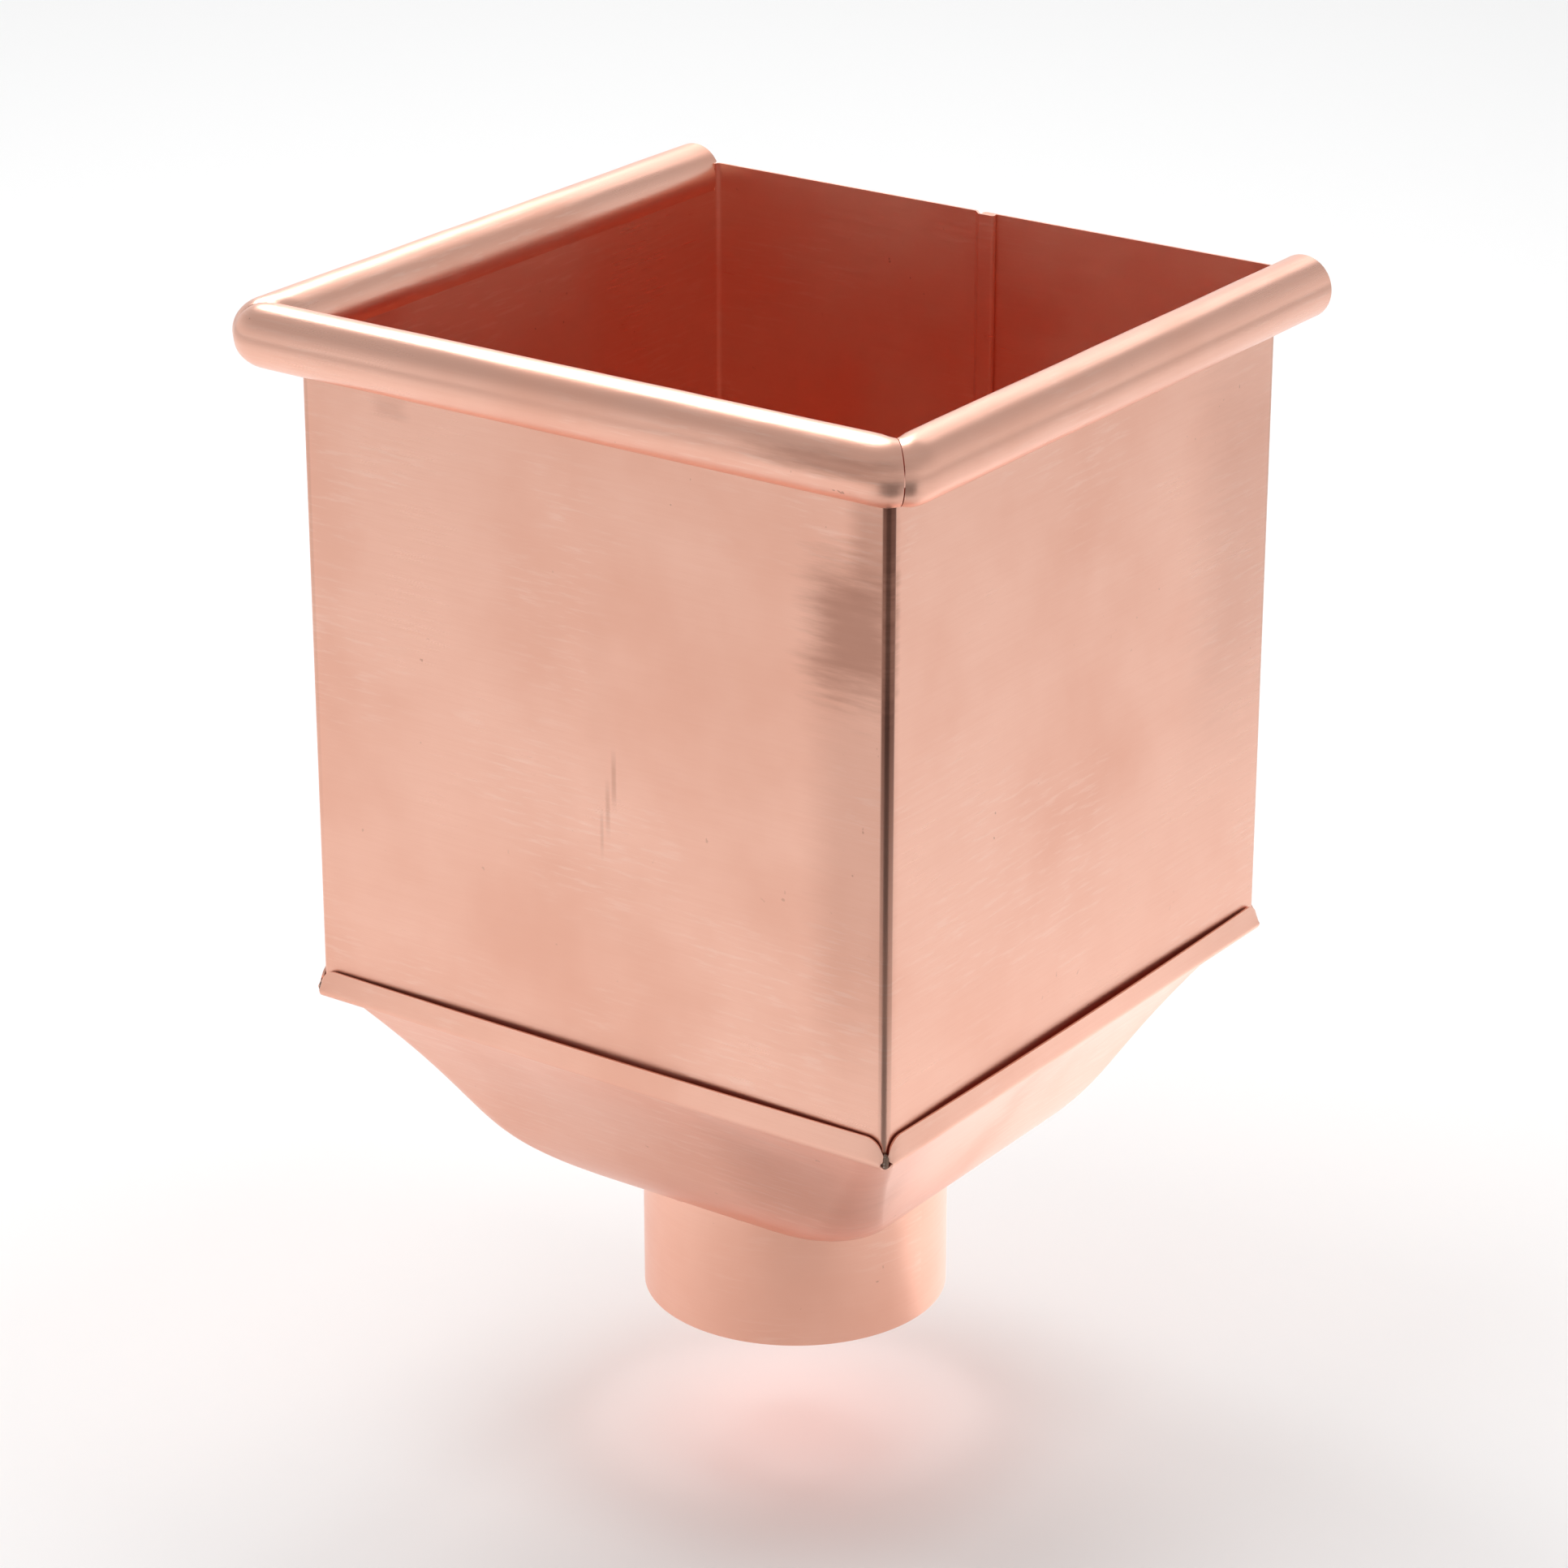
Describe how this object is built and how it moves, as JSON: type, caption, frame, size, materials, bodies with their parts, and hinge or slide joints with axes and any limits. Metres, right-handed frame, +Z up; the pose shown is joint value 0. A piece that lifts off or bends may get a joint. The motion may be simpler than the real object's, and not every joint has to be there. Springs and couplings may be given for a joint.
{
  "type": "downspout collector box",
  "caption": "Square copper rainwater collector box with a rolled bead round its top edge, a straight seamed back, a pressed funnel bottom held by low lips, and a round outlet pipe.",
  "frame": {"origin": "centre of the outlet pipe's lower end", "axes": "+Z up the pipe's axis, -Y towards the front wall, +Y towards the seamed back wall"},
  "size_m": [0.254, 0.2375, 0.3444],
  "materials": {
    "copper": "satin mill finish copper sheet",
    "solder": "dull grey tin solder"
  },
  "bodies": {
    "root": {"box_body": "copper", "funnel_bottom": "copper", "outlet_pipe": "copper", "outlet_solder": "solder", "front_right_solder": "solder", "front_left_solder": "solder", "back_left_solder": "solder", "back_right_solder": "solder"}
  },
  "joints": []
}
